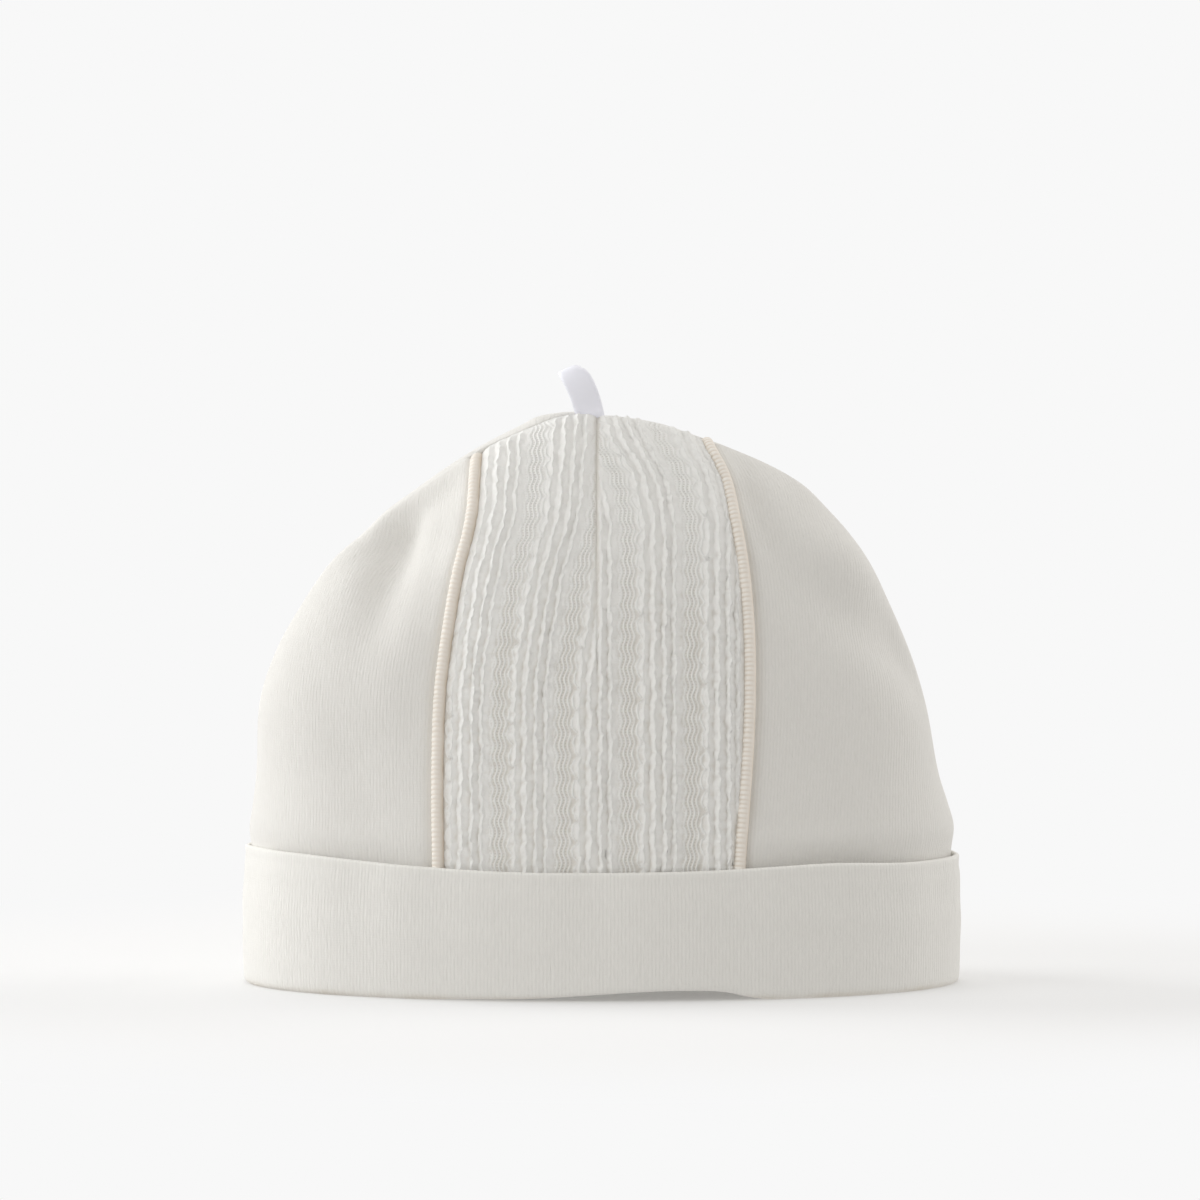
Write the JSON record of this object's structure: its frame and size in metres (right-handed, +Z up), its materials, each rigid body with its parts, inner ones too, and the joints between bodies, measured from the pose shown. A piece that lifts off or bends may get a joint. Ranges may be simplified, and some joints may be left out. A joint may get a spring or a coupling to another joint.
{
  "type": "baby's knitted nightcap",
  "caption": "Small rounded jersey cap with a turned-up cuff, a ribbed front panel between two corded pipings, a centre dart and a short hanging loop on top.",
  "frame": {"origin": "on the floor, at the middle of the box round the whole cap", "axes": "+Z up, +X to the right seen from the front, and the front with the ribbed panel faces -Y"},
  "size_m": [0.1586, 0.09, 0.1366],
  "materials": {
    "jersey": "matt interlock cotton, off-white",
    "textured_knit": "matt raised rib knit, off-white",
    "piping": "matt covered cord, cream",
    "satin_ribbon": "satin ribbon, cool white"
  },
  "bodies": {
    "root": {"crown_centre_panel": "textured_knit", "crown_left_panel": "jersey", "crown_right_panel": "jersey", "crown_back_panel": "jersey", "piping_left": "piping", "piping_right": "piping", "cuff": "jersey", "hanging_loop": "satin_ribbon"}
  },
  "joints": []
}
